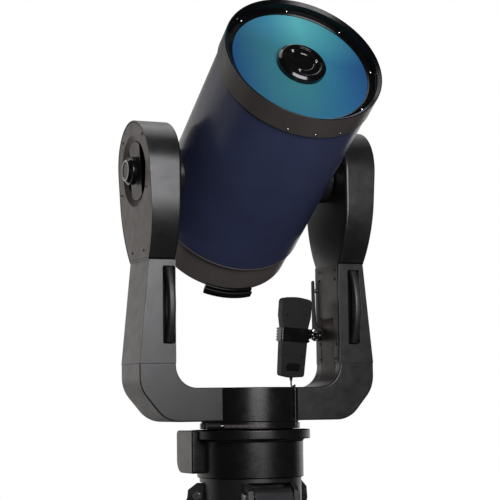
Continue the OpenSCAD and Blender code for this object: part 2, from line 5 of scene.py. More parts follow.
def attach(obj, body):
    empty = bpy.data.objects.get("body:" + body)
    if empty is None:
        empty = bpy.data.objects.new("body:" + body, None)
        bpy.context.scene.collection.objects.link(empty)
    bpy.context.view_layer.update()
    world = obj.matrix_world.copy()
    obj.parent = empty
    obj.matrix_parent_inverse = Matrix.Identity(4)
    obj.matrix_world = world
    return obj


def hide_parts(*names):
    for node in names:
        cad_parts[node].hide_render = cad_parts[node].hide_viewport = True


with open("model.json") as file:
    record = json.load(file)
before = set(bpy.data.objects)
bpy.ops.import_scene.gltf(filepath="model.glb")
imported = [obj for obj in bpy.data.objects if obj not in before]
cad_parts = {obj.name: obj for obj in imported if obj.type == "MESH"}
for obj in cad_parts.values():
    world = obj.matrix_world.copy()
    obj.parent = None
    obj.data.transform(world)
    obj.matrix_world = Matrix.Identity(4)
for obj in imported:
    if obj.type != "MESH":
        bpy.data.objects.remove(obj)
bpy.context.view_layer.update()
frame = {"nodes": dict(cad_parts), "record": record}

N = frame["nodes"]
MM = 0.001
DECK = 1.165            # fork base's upper face
ALT = 1.805             # altitude axis
DRV = 0.900             # drive base's underside
ELEV = math.radians(32.5)

# ------------------------------------------------------------------ camera
def make_camera():
    az, pitch, roll = math.radians(-22.69), math.radians(5.57), math.radians(-0.71)
    fwd = Vector((-math.sin(az) * math.cos(pitch), math.cos(az) * math.cos(pitch), math.sin(pitch)))
    right = Vector((math.cos(az), math.sin(az), 0))
    up = right.cross(fwd)
    R = math.cos(roll) * right + math.sin(roll) * up
    U = -math.sin(roll) * right + math.cos(roll) * up
    tgt = Vector((0.00658, -0.00275, 0.41486 + DECK))
    pos = tgt - fwd * 4.824
    cam = bpy.data.objects.new("cam", bpy.data.cameras.new("cam"))
    cam.data.sensor_width = 36.0
    cam.data.lens = 1593.6 / 500 * 36
    cam.data.clip_end = 100
    m = Matrix((R, U, -fwd)).transposed().to_4x4()
    m.translation = pos
    cam.matrix_world = m
    bpy.context.scene.collection.objects.link(cam)
    bpy.context.scene.camera = cam
make_camera()

# ------------------------------------------------------------------ the handset's cable (route as in the CAD model)
CORD = [[151, 30, 19], [150.8, 29.5, 14.5], [150, 27.4, 9.6], [148.7, 23.8, 5.8], [147.1, 19.2, 3.5], [145.4, 14.4, 2.8],
  [140.8, 1.8, 2.8], [134, -17, 2.8], [127.1, -35.8, 2.8], [120.3, -54.6, 2.8], [113.5, -73.4, 3], [108.4, -87.5, 4], [104, -100, 5],
  [100.9, -108.4, 4.6], [98.8, -113, 2.4], [97.7, -115.6, -1.6], [97.4, -117, -7], [97.6, -117.4, -14], [97.6, -117.2, -26],
  [97.6, -117, -42], [97.6, -117, -60], [97.6, -117, -78], [97.6, -117, -94], [97.6, -117, -103]]
def cat(p0, p1, p2, p3, t):
    return 0.5 * (2 * p1 + (p2 - p0) * t + (2 * p0 - 5 * p1 + 4 * p2 - p3) * t * t + (3 * p1 - p0 - 3 * p2 + p3) * t ** 3)
def cord_path():
    P = [Vector((p[0] * MM, p[1] * MM, DECK + p[2] * MM)) for p in CORD]
    out = []
    for i in range(len(P) - 1):
        a, b, c, d = P[max(i - 1, 0)], P[i], P[i + 1], P[min(i + 2, len(P) - 1)]
        for k in range(3):
            out.append(cat(a, b, c, d, k / 3))
    out.append(P[-1])
    return out

# ------------------------------------------------------------------ materials
def lin(c):
    return tuple((x / 255 / 12.92 if x / 255 <= 0.04045 else ((x / 255 + 0.055) / 1.055) ** 2.4) for x in c) + (1.0,)
class Mat:
    def __init__(s, name):
        s.m = bpy.data.materials.new(name); s.m.use_nodes = True
        s.t = s.m.node_tree; s.b = s.t.nodes["Principled BSDF"]
        s.tc = s.t.nodes.new("ShaderNodeTexCoord")
    def n(s, kind, **kw):
        x = s.t.nodes.new(kind)
        for k, v in kw.items():
            if hasattr(x, k): setattr(x, k, v)
        return x
    def link(s, a, b): s.t.links.new(a, b)
    def noise(s, scale, detail=3, rough=0.55, dist=0.0, stretch=None):
        x = s.n("ShaderNodeTexNoise"); x.inputs["Scale"].default_value = scale; x.inputs["Detail"].default_value = detail
        x.inputs["Roughness"].default_value = rough; x.inputs["Distortion"].default_value = dist
        if stretch:
            mp = s.n("ShaderNodeMapping"); mp.inputs["Scale"].default_value = stretch
            s.link(s.tc.outputs["Object"], mp.inputs["Vector"]); s.link(mp.outputs["Vector"], x.inputs["Vector"])
        else: s.link(s.tc.outputs["Object"], x.inputs["Vector"])
        return x.outputs["Fac"]
    def ramp(s, fac, stops, interp="LINEAR"):
        r = s.n("ShaderNodeValToRGB"); r.color_ramp.interpolation = interp
        while len(r.color_ramp.elements) > 1: r.color_ramp.elements.remove(r.color_ramp.elements[-1])
        for i, (p, c) in enumerate(stops):
            e = r.color_ramp.elements[0] if i == 0 else r.color_ramp.elements.new(p)
            e.position = p; e.color = c if len(c) == 4 else tuple(c) + (1,)
        s.link(fac, r.inputs["Fac"]); return r.outputs["Color"]
    def math(s, op, a, b=None, clamp=False):
        x = s.n("ShaderNodeMath", operation=op); x.use_clamp = clamp
        for i, v in enumerate((a, b)):
            if v is None: continue
            if isinstance(v, (int, float)): x.inputs[i].default_value = v
            else: s.link(v, x.inputs[i])
        return x.outputs[0]
    def mix(s, fac, a, b):
        x = s.n("ShaderNodeMix"); x.data_type = "RGBA"
        for k, v in ((0, fac), (6, a), (7, b)):
            if isinstance(v, (int, float)): x.inputs[k].default_value = v
            elif isinstance(v, tuple): x.inputs[k].default_value = v
            else: s.link(v, x.inputs[k])
        return x.outputs[2]
    def maprange(s, v, a, b, c, d):
        x = s.n("ShaderNodeMapRange")
        for k, q in zip(("From Min", "From Max", "To Min", "To Max"), (a, b, c, d)): x.inputs[k].default_value = q
        s.link(v, x.inputs["Value"]); return x.outputs["Result"]
    def bump(s, h, strength, dist, prev=None):
        x = s.n("ShaderNodeBump"); x.inputs["Strength"].default_value = strength; x.inputs["Distance"].default_value = dist
        s.link(h, x.inputs["Height"])
        if prev: s.link(prev, x.inputs["Normal"])
        return x.outputs["Normal"]
    def edge(s, lo=0.51, hi=0.58):
        g = s.n("ShaderNodeNewGeometry"); return s.maprange(g.outputs["Pointiness"], lo, hi, 0, 1)
    def set(s, **kw):
        for k, v in kw.items():
            k = k.replace("_", " ")
            if isinstance(v, (int, float, tuple)): s.b.inputs[k].default_value = v
            else: s.link(v, s.b.inputs[k])
        return s

def paint(name, rgb, rough=0.42, grain=1400, bump=0.12, var=0.12, spec=0.5, coat=0.0, edgec=None, tint=None):
    """sprayed satin or wrinkle paint over a casting"""
    s = Mat(name); base = lin(rgb)
    big = s.noise(7, 4, 0.6); mid = s.noise(90, 3, 0.5)
    dark = tuple(x * (1 - var) for x in base[:3]) + (1,); light = tuple(min(1, x * (1 + var)) for x in base[:3]) + (1,)
    col = s.ramp(big, [(0.3, dark), (0.7, light)])
    if tint: col = s.mix(s.math("MULTIPLY", mid, 0.5), col, lin(tint))
    e = s.edge(0.52, 0.6)
    col = s.mix(s.math("MULTIPLY", e, 0.35), col, lin(edgec or tuple(min(255, c + 42) for c in rgb)))
    fine = s.noise(grain, 2, 0.6)
    dust = s.noise(28, 5, 0.65)
    r = s.math("ADD", s.maprange(dust, 0.3, 0.75, rough - 0.05, rough + 0.07), s.math("MULTIPLY", fine, 0.05))
    nrm = s.bump(fine, bump, 0.0006); nrm = s.bump(s.noise(260, 2), bump * 0.35, 0.0009, nrm)
    return s.set(Base_Color=col, Roughness=r, Normal=nrm, Specular_IOR_Level=spec, Coat_Weight=coat, Coat_Roughness=0.15).m

def metal(name, rgb, rough=0.28, brushed=None, grain=900):
    s = Mat(name); base = lin(rgb)
    st = brushed or (1, 1, 1)
    f = s.noise(grain, 3, 0.6, stretch=st); g = s.noise(20, 4)
    col = s.ramp(g, [(0.3, tuple(x * 0.86 for x in base[:3]) + (1,)), (0.7, base)])
    r = s.maprange(f, 0.3, 0.7, rough - 0.06, rough + 0.1)
    return s.set(Base_Color=col, Metallic=1.0, Roughness=r, Normal=s.bump(f, 0.08, 0.0003)).m

def plastic(name, rgb, rough=0.45, grain=1800, bump=0.18, coat=0.0, spec=0.5):
    s = Mat(name); base = lin(rgb)
    f = s.noise(grain, 2, 0.5); g = s.noise(35, 4, 0.6)
    col = s.ramp(g, [(0.3, tuple(x * 0.85 for x in base[:3]) + (1,)), (0.72, tuple(min(1, x * 1.15) for x in base[:3]) + (1,))])
    col = s.mix(s.math("MULTIPLY", s.edge(0.52, 0.62), 0.3), col, lin(tuple(min(255, c + 35) for c in rgb)))
    r = s.maprange(g, 0.3, 0.7, rough - 0.05, rough + 0.06)
    return s.set(Base_Color=col, Roughness=r, Normal=s.bump(f, bump, 0.0004), Specular_IOR_Level=spec, Coat_Weight=coat, Coat_Roughness=0.08).m

M_FORK = paint("m_fork", (21, 20, 21), 0.31, 1500, 0.14, spec=0.5)
M_COVER = paint("m_cover", (46, 36, 33), 0.36, 1300, 0.16, spec=0.46)
M_DRIVE = paint("m_drive", (15, 14, 14), 0.25, 1500, 0.1, spec=0.42)
M_RING = paint("m_ring", (68, 63, 62), 0.26, 1700, 0.1, spec=0.2)
M_RINGBLK = plastic("m_ringblk", (7, 7, 8), 0.22, 1600, 0.05, spec=0.2)
M_TRIPOD = paint("m_tripod", (20, 20, 21), 0.3, 1400, 0.12)
M_LEG = metal("m_leg", (176, 178, 182), 0.3, (60, 60, 1))
M_STEEL = metal("m_steel", (196, 197, 200), 0.22)
M_SCREW = metal("m_screw", (72, 72, 74), 0.36)
M_BRASS = metal("m_brass", (196, 158, 84), 0.3)
M_ALU = metal("m_alu", (150, 151, 154), 0.38)
M_KNOB = plastic("m_knob", (17, 17, 18), 0.4)
M_GLOSS = plastic("m_gloss", (8, 8, 9), 0.13, 900, 0.03, 0.35, spec=0.3)
M_GRIP = plastic("m_grip", (22, 21, 21), 0.42, 2200, 0.25)
M_HAND = plastic("m_hand", (13, 12, 13), 0.46, 2400, 0.25, spec=0.15)
M_CABLE = plastic("m_cable", (15, 15, 16), 0.4, 1500, 0.1)
M_KEY = plastic("m_key", (120, 30, 30), 0.5, 1500, 0.1)

M_REAR = paint("m_rear", (92, 86, 84), 0.3, 1500, 0.12, spec=0.3)
M_INNER = paint("m_inner", (44, 36, 34), 0.34, 1300, 0.14, spec=0.22)
M_LINER = paint("m_liner", (52, 43, 40), 0.4, 1300, 0.14, spec=0.22)
M_BAR = paint("m_bar", (58, 49, 46), 0.4, 1300, 0.14, spec=0.5)
# painted shade: near-black matte for the walls and floors of the cover recesses and the bar's sides, standing in for
# the shade inside the deep recess
M_RECESS_PAINTED_SHADE = plastic("m_recess_painted_shade", (6, 6, 6), 0.6, 1500, 0.08, spec=0.06)
M_KFACE = plastic("m_kface", (66, 56, 52), 0.42, 1300, 0.1)
M_KNOBG = plastic("m_knobg", (14, 14, 14), 0.18, 900, 0.03, 0.6, spec=0.9)
M_STRIP = plastic("m_strip", (12, 12, 12), 0.5, 1600, 0.08, spec=0.15)
M_SCREWD = metal("m_screwd", (40, 39, 40), 0.4)
M_LCD = plastic("m_lcd", (30, 34, 30), 0.12, 900, 0.02, 0.5)

M_COVER.node_tree.nodes["Principled BSDF"].inputs["Specular Tint"].default_value = (1.0, 0.86, 0.81, 1)
M_BAR.node_tree.nodes["Principled BSDF"].inputs["Specular Tint"].default_value = (1.0, 0.88, 0.84, 1)
def tube_paint():
    s = Mat("m_tube")
    flake = s.noise(2600, 1, 0.5); big = s.noise(5, 4, 0.55); orange = s.noise(170, 2, 0.5)
    col = s.ramp(big, [(0.3, lin((51, 56, 82))), (0.7, lin((57, 63, 92)))])
    col = s.mix(s.math("MULTIPLY", s.math("GREATER_THAN", flake, 0.66), 0.2), col, lin((78, 86, 126)))
    r = s.maprange(s.noise(24, 5, 0.6), 0.3, 0.7, 0.20, 0.26)
    return s.set(Base_Color=col, Roughness=r, Normal=s.bump(orange, 0.06, 0.0008), Specular_IOR_Level=0.16).m
M_TUBE = tube_paint()

def coated_glass():
    """corrector with its blue-green coating; the coating's reflection is painted on as colour, brightest teal towards
    the top and bluer at the sides, fixed in the tube's own frame, and the plate glows faintly as painted light
    """
    s = Mat("m_corrector")
    sub = s.n("ShaderNodeVectorMath"); sub.operation = "SUBTRACT"; sub.inputs[1].default_value = (0, 0, ALT); s.link(s.tc.outputs["Object"], sub.inputs[0])
    rot = s.n("ShaderNodeMapping"); rot.inputs["Rotation"].default_value = (-(math.pi / 2 - ELEV), 0, 0); s.link(sub.outputs[0], rot.inputs["Vector"])
    sep = s.n("ShaderNodeSeparateXYZ"); s.link(rot.outputs["Vector"], sep.inputs[0])
    x, y = sep.outputs[0], sep.outputs[1]
    # painted reflection: the teal band and the blue ends are the coating's reflection of the studio light, painted as
    # base colour
    side = s.ramp(s.maprange(x, -0.205, 0.205, 0, 1), [(0.0, lin((30, 70, 112))), (0.22, lin((48, 100, 118))), (0.5, lin((56, 120, 126))), (0.72, lin((46, 108, 134))), (0.88, lin((38, 84, 124))), (1.0, lin((31, 68, 112)))])
    top = s.ramp(s.maprange(x, -0.205, 0.205, 0, 1), [(0.0, lin((42, 84, 122))), (0.35, lin((62, 130, 158))), (0.58, lin((88, 172, 178))), (0.8, lin((66, 142, 152))), (1.0, lin((46, 104, 136)))])
    wob = s.math("MULTIPLY", s.math("SUBTRACT", s.noise(7, 3, 0.5), 0.5), 0.05)
    f = s.maprange(s.math("ADD", s.math("ADD", y, s.math("MULTIPLY", x, 0.25)), wob), 0.045, 0.19, 0, 1)
    low = s.maprange(s.math("SUBTRACT", s.math("MULTIPLY", x, 0.7), y), 0.05, 0.2, 0, 0.55)
    col = s.mix(0.22, s.mix(low, s.mix(f, side, top), lin((38, 80, 122))), (0.0, 0.004, 0.0, 1.0))
    # painted glow: the painted colour is also emitted, so the plate lights itself though it is no lamp
    return s.set(Base_Color=col, Roughness=0.12, Specular_IOR_Level=0.5, Coat_Weight=0.25, Coat_Roughness=0.04,
                 Emission_Color=col, Emission_Strength=CORR_PAINTED_GLOW).m
# strength of the corrector's painted glow
CORR_PAINTED_GLOW = 0.17
M_CORR = coated_glass()
def mirror_mat():
    s = Mat("m_mirror"); n = s.noise(6, 2)
    return s.set(Base_Color=s.ramp(n, [(0.3, (0.86, 0.88, 0.9)), (0.7, (0.92, 0.93, 0.95))]), Metallic=1.0, Roughness=0.03).m
M_MIRROR = mirror_mat()

def dull_top(m):
    """flat tops gather dust, so their paint has no gloss left"""
    t = m.node_tree; b = t.nodes["Principled BSDF"]; level = b.inputs["Specular IOR Level"]
    tc = t.nodes.new("ShaderNodeTexCoord"); sp = t.nodes.new("ShaderNodeSeparateXYZ"); mr = t.nodes.new("ShaderNodeMapRange")
    t.links.new(tc.outputs["Normal"], sp.inputs[0]); t.links.new(sp.outputs[2], mr.inputs["Value"])
    for k, v in zip(("From Min", "From Max", "To Min", "To Max"), (0.985, 0.998, level.default_value, 0.0)): mr.inputs[k].default_value = v
    t.links.new(mr.outputs["Result"], level)
for m in (M_FORK, M_DRIVE, M_TRIPOD): dull_top(m)

SLOT_MAT = dict(fork_paint=M_FORK, cover_paint=M_COVER, drive_paint=M_DRIVE, tube_blue=M_TUBE, ring_paint=M_RING, ring_black=M_RINGBLK,
                tripod_paint=M_TRIPOD, leg_metal=M_LEG, steel=M_STEEL, worm_brass=M_BRASS, cast_alu=M_ALU, knob_plastic=M_KNOB, gloss_black=M_GLOSS,
                coated_glass=M_CORR, silvered=M_MIRROR, grip_rubber=M_GRIP, cable_pvc=M_CABLE, key_rubber=M_KEY)
SUB = {x["node"]: x["material_slot"] for x in frame["record"]["subparts"]}
def dress(node, mat=None, bev=0.0012, seg=2, angle=32):
    """a CAD node as it is, with fine rounded edges and its finish"""
    o = N[node]
    o.data.materials.clear(); o.data.materials.append(mat or SLOT_MAT[SUB[node]])
    for p in o.data.polygons: p.use_smooth = True
    w = o.modifiers.new("weld", "WELD"); w.merge_threshold = 0.00002
    d = o.modifiers.new("flat", "DECIMATE"); d.decimate_type = "DISSOLVE"; d.angle_limit = math.radians(0.4)
    if bev:
        b = o.modifiers.new("bevel", "BEVEL"); b.width = bev; b.segments = seg; b.limit_method = "ANGLE"; b.angle_limit = math.radians(angle)
        b.use_clamp_overlap = True; b.miter_outer = "MITER_ARC"
    wn = o.modifiers.new("wn", "WEIGHTED_NORMAL"); wn.keep_sharp = False; wn.weight = 90
    return o
for nd in N: dress(nd)

# ------------------------------------------------------------------ mesh helpers
COL = bpy.context.scene.collection
def new_obj(name, bm, mat, body, nodes=()):
    bmesh.ops.remove_doubles(bm, verts=bm.verts, dist=1e-6)
    bmesh.ops.recalc_face_normals(bm, faces=bm.faces)
    me = bpy.data.meshes.new(name); bm.to_mesh(me); bm.free()
    for p in me.polygons: p.use_smooth = True
    o = bpy.data.objects.new(name, me); COL.objects.link(o)
    if mat: me.materials.append(mat)
    if body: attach(o, body)
    if nodes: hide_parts(*nodes)
    return o
def unit2(x, y):
    l = math.hypot(x, y); return x / l, y / l
def rpoly(q, n=10):
    """outline with rounded corners [x, y, radius]"""
    out = []; m = len(q)
    for i in range(m):
        a, p, b = q[i - 1], q[i], q[(i + 1) % m]
        r = p[2] if len(p) > 2 else 0
        if r <= 0: out.append((p[0], p[1])); continue
        u = unit2(a[0] - p[0], a[1] - p[1]); v = unit2(b[0] - p[0], b[1] - p[1])
        h = math.acos(max(-1, min(1, u[0] * v[0] + u[1] * v[1]))) / 2
        w = unit2(u[0] + v[0], u[1] + v[1]); c = (p[0] + w[0] * r / math.sin(h), p[1] + w[1] * r / math.sin(h))
        s0 = (p[0] + u[0] * r / math.tan(h) - c[0], p[1] + u[1] * r / math.tan(h) - c[1])
        e0 = (p[0] + v[0] * r / math.tan(h) - c[0], p[1] + v[1] * r / math.tan(h) - c[1])
        a0 = math.atan2(s0[1], s0[0]); d = math.atan2(e0[1], e0[0]) - a0
        while d > math.pi: d -= 2 * math.pi
        while d < -math.pi: d += 2 * math.pi
        out += [(c[0] + r * math.cos(a0 + d * k / n), c[1] + r * math.sin(a0 + d * k / n)) for k in range(n + 1)]
    return out
def prism(outline, lo, hi, place):
    """closed prism; place(u, v, w) -> world metres, w runs from lo to hi"""
    bm = bmesh.new()
    A = [bm.verts.new(place(u, v, lo)) for u, v in outline]; B = [bm.verts.new(place(u, v, hi)) for u, v in outline]
    n = len(outline)
    bm.faces.new(A); bm.faces.new(B[::-1])
    for i in range(n): bm.faces.new((A[i], B[i], B[(i + 1) % n], A[(i + 1) % n]))
    bmesh.ops.recalc_face_normals(bm, faces=bm.faces)
    return bm
def fillet_profile(prof, n=5):
    """open profile of (r, z, radius)"""
    out = [tuple(prof[0][:2])]
    for i in range(1, len(prof) - 1):
        q = rpoly([prof[i - 1][:2] + (0,), prof[i], prof[i + 1][:2] + (0,)], n)
        out += q[1:-1] if prof[i][2] > 0 else [prof[i][:2]]
    out.append(tuple(prof[-1][:2])); return out
def lathe(prof, place, seg=160, closed=False, arc=None):
    """turned body; prof is a list of (r, z); place(x, y, z) -> world metres"""
    bm = bmesh.new(); rings = []
    for r, z in prof:
        if r < 1e-9: rings.append([bm.verts.new(place(0, 0, z))])
        else: rings.append([bm.verts.new(place(r * math.cos(2 * math.pi * k / seg), r * math.sin(2 * math.pi * k / seg), z)) for k in range(seg)])
    pairs = list(zip(rings, rings[1:])) + ([(rings[-1], rings[0])] if closed else [])
    for a, b in pairs:
        for k in range(seg):
            k2 = (k + 1) % seg
            if len(a) == 1 and len(b) == 1: break
            if len(a) == 1: bm.faces.new((a[0], b[k], b[k2]))
            elif len(b) == 1: bm.faces.new((a[k], b[0], a[k2]))
            else: bm.faces.new((a[k], b[k], b[k2], a[k2]))
    bmesh.ops.recalc_face_normals(bm, faces=bm.faces)
    return bm
def bevel_rule(o, rule, width, seg=4, angle=24):
    """bevel weights from rule(edge midpoint in mm, direction) for every edge sharper than angle"""
    me = o.data; bm = bmesh.new(); bm.from_mesh(me)
    lay = bm.edges.layers.float.get("bevel_weight_edge") or bm.edges.layers.float.new("bevel_weight_edge")
    for e in bm.edges:
        if len(e.link_faces) == 2 and e.calc_face_angle(0) > math.radians(angle):
            m = (e.verts[0].co + e.verts[1].co) / 2; d = (e.verts[1].co - e.verts[0].co).normalized()
            e[lay] = max(0.0, min(1.0, rule(m / MM, d)))
    bm.to_mesh(me); bm.free()
    b = o.modifiers.new("bevel", "BEVEL"); b.width = width; b.segments = seg; b.limit_method = "WEIGHT"; b.use_clamp_overlap = True; b.miter_outer = "MITER_ARC"
    wn = o.modifiers.new("wn", "WEIGHTED_NORMAL"); wn.keep_sharp = False; wn.weight = 90
def cut(o, tool, op="DIFFERENCE"):
    """boolean, applied"""
    m = o.modifiers.new("b", "BOOLEAN"); m.operation = op; m.object = tool; m.solver = "EXACT"
    dg = bpy.context.evaluated_depsgraph_get(); me = bpy.data.meshes.new_from_object(o.evaluated_get(dg))
    o.modifiers.remove(m); old = o.data; mats = [x for x in old.materials]
    o.data = me; me.name = old.name + "_cut"; bpy.data.meshes.remove(old)
    if not me.materials:
        for x in mats: me.materials.append(x)
    tm = tool.data; bpy.data.objects.remove(tool); bpy.data.meshes.remove(tm)
def bare(bm, name="tool"):
    me = bpy.data.meshes.new(name); bm.to_mesh(me); bm.free()
    o = bpy.data.objects.new(name, me); COL.objects.link(o); return o
def join(bms):
    """several bmeshes into one"""
    base = bms[0]
    for other in bms[1:]:
        me = bpy.data.meshes.new("t"); other.to_mesh(me); other.free(); base.from_mesh(me); bpy.data.meshes.remove(me)
    return base
D = DECK / MM
def XZ(s=1): return lambda u, v, w: Vector((s * u * MM, w * MM, (D + v) * MM))       # outline in X, Z; extruded along Y
def YZ(s=1): return lambda u, v, w: Vector((s * w * MM, u * MM, (D + v) * MM))       # outline in Y, Z; extruded along X
ce, se = math.cos(math.pi / 2 - ELEV), math.sin(math.pi / 2 - ELEV)
def OTA(x, y, z): return Vector((x * MM, (y * ce - z * se) * MM, ALT + (y * se + z * ce) * MM))
def UP(z0=0): return lambda x, y, z: Vector((x * MM, y * MM, (z0 + z) * MM))

# ------------------------------------------------------------------ fork
AX, AD = 263.0, 85.0
def fork():
    ol = rpoly([(-375, 71), (-375, -2, 95), (-293, -99, 88), (293, -99, 88), (375, -2, 95), (375, 71), (263, 71), (263, 0, 65), (-263, 0, 65), (-263, 71)], 14)
    o = new_obj("fork_base_cast", prism(ol, -AD, AD, XZ()), M_FORK, "fork", ("fork_base",))
    bevel_rule(o, lambda m, d: 0.36 if abs(m.z - D - 71) < 1 else 1.0, 0.0042, 4)
    hub = lathe(fillet_profile([(60, -101, 0), (60, -100.9, 0), (148, -101, 2.0), (148, -0.2, 3.2), (20, -0.2, 0), (0, -0.2, 0)], 5), UP(D), 192)
    h = new_obj("fork_hub", hub, M_DRIVE, "fork", ())
    wn = h.modifiers.new("wn", "WEIGHTED_NORMAL"); wn.weight = 90
    for s, nd in ((-1, "fork_arm_l"), (1, "fork_arm_r")):
        o = new_obj(nd + "_cast", prism([(263, 71), (375, 71), (345, 372), (263, 372)], -AD, AD, XZ(s)), M_FORK, "fork", (nd,))
        gx = 284 if s < 0 else 312
        pk = prism(rpoly([(gx - 19, 128, 6), (gx + 19, 128, 6), (gx + 19, 354, 6), (gx - 19, 354, 6)], 5), -AD - 20, -AD + 22, XZ(s))
        cut(o, bare(pk))
        bevel_rule(o, lambda m, d: 0.36 if (m.z - D < 72 or m.z - D > 371) else (0.5 if (130 < m.z - D < 356 and m.y < -60 and abs(abs(m.x) - gx) < 21) else 1.0), 0.0042, 4)
fork()

def head_side(o, z0, n=24):
    f = lambda z: 146 - o - (320 - math.sqrt(320 * 320 - (560 - z) ** 2))
    return ([(f(z0 + (560 - z0) * i / n), z0 + (560 - z0) * i / n) for i in range(n)] +
            [((146 - o) * math.cos(math.radians(i * 180 / 56)), 643 + (146 - o) * math.sin(math.radians(i * 180 / 56))) for i in range(57)] +
            [(-f(z0 + (560 - z0) * i / n), z0 + (560 - z0) * i / n) for i in range(n - 1, -1, -1)])
T3, C3, S3 = math.tan(math.radians(3.2)), math.cos(math.radians(3.2)), math.sin(math.radians(3.2))
def face_x(u, z):
    """X of the plane u from the slanted frame's origin, at height z above the deck"""
    return (u + (z - 372) * S3) / C3
def heads():
    for s, nd in ((-1, "fork_head_l"), (1, "fork_head_r")):
        R = 9.0                                              # rounded inner edge
        loops = []
        for k in range(7):
            a = math.pi / 2 * k / 6
            loops.append((R * (1 - math.sin(a)), AX + R * (1 - math.cos(a)), None))
        bm = bmesh.new(); rings = []
        for off, x, _ in loops: rings.append([bm.verts.new(YZ(s)(y, z, x)) for y, z in head_side(off, 372)])
        for off, u in ((0, 344.6), (0.35, 345.6), (1.0, 346.0), (4.0, 346.0), (4.6, 345.4), (4.6, 339.5)):
            rings.append([bm.verts.new(YZ(s)(y, z, face_x(u, z))) for y, z in head_side(off, 372 if off < 4 else 376.6)])
        # open well for the cover's cup
        ang = [math.atan2((z - 372 + 339.5 * S3) / C3 - 287.6, y) for y, z in head_side(4.6, 376.6)]
        for u in (339.5, 300.5):
            rings.append([bm.verts.new(Vector((s * (u * C3 + w_ * S3) * MM, y * MM, (D + 372 + w_ * C3 - u * S3) * MM))) for y, w_ in ((100 * math.cos(a), 287.6 + 100 * math.sin(a)) for a in ang)])
        n = len(rings[0])
        for a, b in zip(rings, rings[1:]):
            for i in range(n - 1): bm.faces.new((a[i], b[i], b[i + 1], a[i + 1]))
            bm.faces.new((a[n - 1], b[n - 1], b[0], a[0]))
        bm.faces.new(rings[0]); bm.faces.new(rings[-1])
        o = new_obj(nd + "_cast", bm, M_FORK, "fork", (nd,))
        wn = o.modifiers.new("wn", "WEIGHTED_NORMAL"); wn.weight = 90
heads()

# ------------------------------------------------------------------ cable
def cable():
    P = cord_path()
    cu = bpy.data.curves.new("handset_cable", "CURVE"); cu.dimensions = "3D"; cu.bevel_depth = 0.0025; cu.bevel_resolution = 5; cu.use_fill_caps = True
    sp = cu.splines.new("POLY"); sp.points.add(len(P) - 1)
    for i, p in enumerate(P): sp.points[i].co = (p.x, p.y, p.z, 1)
    sp.use_smooth = True
    o = bpy.data.objects.new("handset_cable", cu); COL.objects.link(o); cu.materials.append(M_CABLE)
    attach(o, "fork"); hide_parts("handset_cord")
cable()

# ------------------------------------------------------------------ turned and moulded parts
def smooth(o, w=90):
    x = o.modifiers.new("wn", "WEIGHTED_NORMAL"); x.keep_sharp = False; x.weight = w; return o
def rod(a, b, r, seg=20, cap=0.25):
    """closed pin from a to b with softened ends, in place(x, y, z) mm given as world vectors"""
    ax = (b - a); L = ax.length; q = ax.to_track_quat("Z", "Y"); c = r * cap
    return lathe([(0, 0), (r - c, 0), (r, c), (r, L - c), (r - c, L), (0, L)], lambda x, y, z: a + q @ Vector((x, y, z)), seg)

def drive():
    # drum, flange and spindle
    pr = fillet_profile([(0, 0, 0), (156.5, 0, 0), (159, 2.5, 1), (159, 112.6, 9), (180, 112.6, 3.2), (180, 140, 3.4), (70, 140, 0), (70, 148.5, 0), (60, 148.5, 0), (60, 245, 0), (0, 245, 0)], 6)
    o = new_obj("drive_drum", lathe(pr, UP(DRV / MM), 224), M_DRIVE, "tripod", ("drive_base",)); smooth(o)
    # side box, let into the drum
    ol = rpoly([(-26, DRV / MM + 14, 8), (-26, DRV / MM + 139.6, 5), (108, DRV / MM + 139.6, 12), (108, DRV / MM + 14, 38)], 10)
    g = new_obj("drive_side_box", prism(ol, -195, -100, lambda u, v, w: Vector((w * MM, u * MM, v * MM))), M_DRIVE, "tripod", ())
    bevel_rule(g, lambda m, d: 1.0 if m.x < -194 else 0.0, 0.011, 6, 24)
drive()

def ring_hub():
    z = D
    pr = fillet_profile([(134, -122, 0), (150, -122, 1.6), (150, -105, 1.8), (145, -105, 0.8), (145, -101, 0), (134, -101, 0)], 5)
    o = new_obj("hub_ring_band", lathe(pr, UP(z), 224, closed=True), M_DRIVE, "fork", ("hub_ring",)); smooth(o)
    # raised marks round the front
    bms = []; n = 22
    for i in range(n):
        a = math.radians(-142.5 + 49.5 * (i + 0.5) / n); w = 1.5 + 1.1 * ((i * 7) % 3) ; h0, h1 = (-117.2, -109.4) if i % 3 else (-118, -108.4)
        da = w / 150
        def pl(u, v, q, a=a): return Vector(((149.4 + q) * math.cos(a + u) * MM, (149.4 + q) * math.sin(a + u) * MM, (z + v) * MM))
        bms.append(prism([(-da, h0), (da, h0), (da, h1), (-da, h1)], 0, 1.7, pl))
    m = new_obj("hub_ring_marks", join(bms), M_RING, "fork", ())
    b = m.modifiers.new("bevel", "BEVEL"); b.width = 0.0004; b.segments = 2; smooth(m)
ring_hub()

